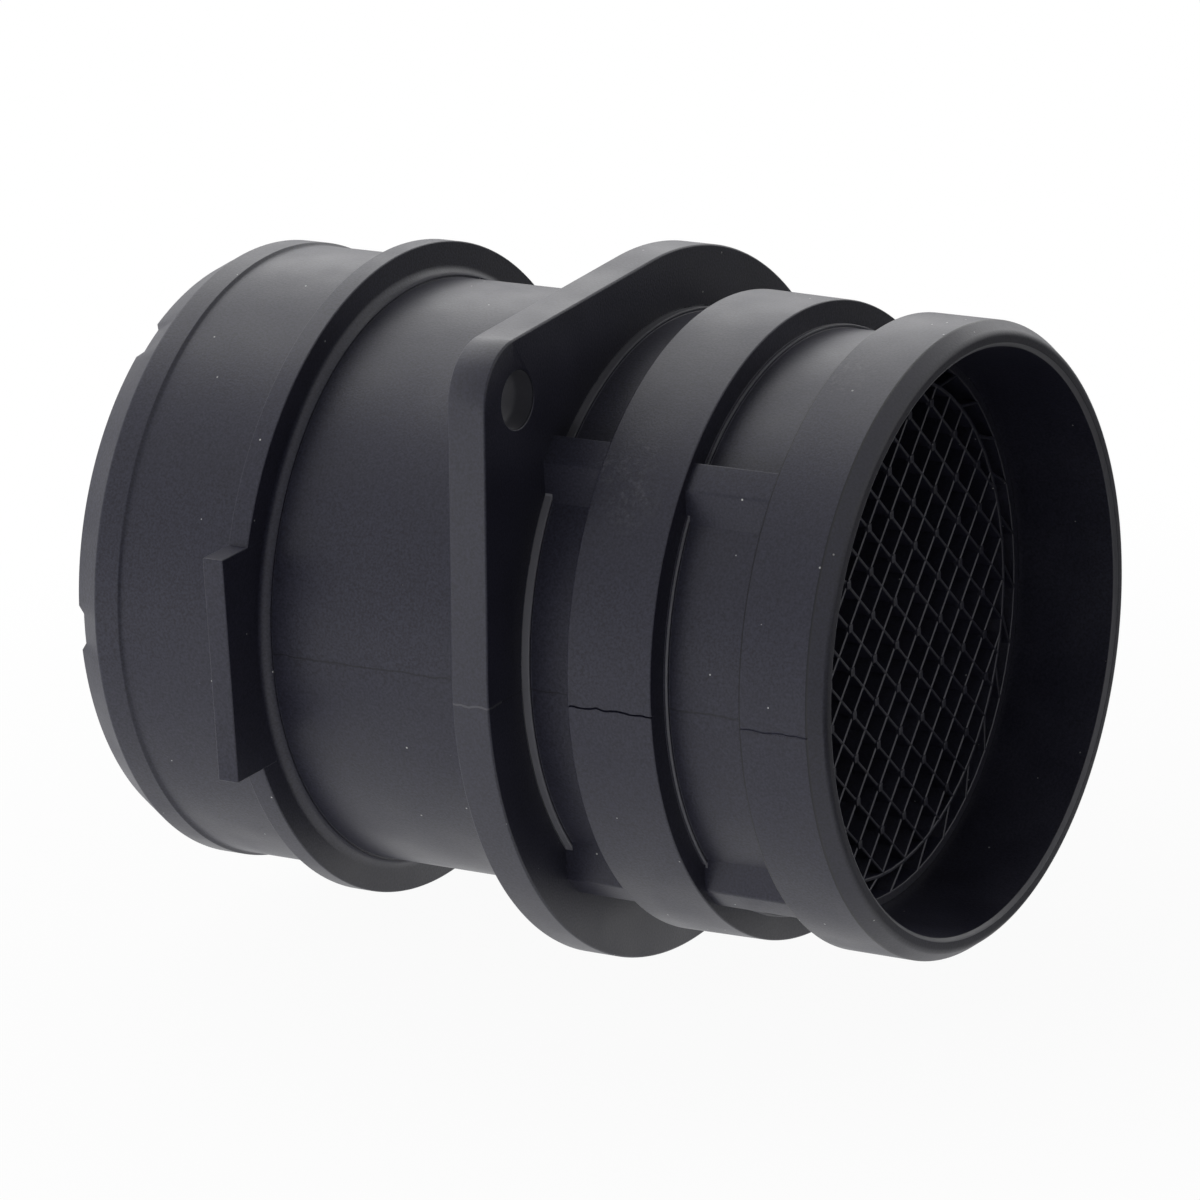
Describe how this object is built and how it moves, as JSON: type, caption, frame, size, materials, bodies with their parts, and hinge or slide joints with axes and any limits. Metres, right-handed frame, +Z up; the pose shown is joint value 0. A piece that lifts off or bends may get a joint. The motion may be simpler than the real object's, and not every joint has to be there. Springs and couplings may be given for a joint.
{
  "type": "mass airflow sensor",
  "caption": "Moulded black duct tube with a mounting flange, an inlet grid and a slot-in hot-film sensor module with a plug socket.",
  "frame": {"origin": "centre of the duct at the seating face of the mounting flange", "axes": "+X along the duct towards the inlet mouth, +Y towards the sensor module's plug socket, +Z up, square to the mould's parting plane"},
  "size_m": [0.1062, 0.1062, 0.0884],
  "materials": {
    "housing_plastic": "moulded, glass-filled",
    "grid_plastic": "moulded, satin",
    "module_plastic": "moulded, fine grain",
    "seal_rubber": "smooth",
    "screw_steel": "zinc plated",
    "terminal_tin": "tin plated",
    "plate_aluminium": "rolled",
    "board_laminate": "solder mask",
    "chip_black": "moulded",
    "capacitor_ceramic": "fired",
    "clear_gel": "clear and soft",
    "sensing_silicon": "polished",
    "probe_glass": "glazed"
  },
  "bodies": {
    "root": {"tube_housing": "housing_plastic", "inlet_grid": "grid_plastic", "sensor_body": "module_plastic", "module_seal": "seal_rubber", "module_screw_upper": "screw_steel", "module_screw_lower": "screw_steel", "electronics_cover": "module_plastic", "bypass_cover": "module_plastic", "base_plate": "plate_aluminium", "circuit_board": "board_laminate", "signal_chip": "chip_black", "chip_carrier": "module_plastic", "sensor_chip": "sensing_silicon", "gel_fill": "clear_gel", "temperature_probe": "probe_glass", "terminal_1": "terminal_tin", "terminal_2": "terminal_tin", "terminal_3": "terminal_tin", "terminal_4": "terminal_tin", "terminal_5": "terminal_tin", "capacitor_1": "capacitor_ceramic", "capacitor_2": "capacitor_ceramic", "capacitor_3": "capacitor_ceramic"}
  },
  "joints": []
}
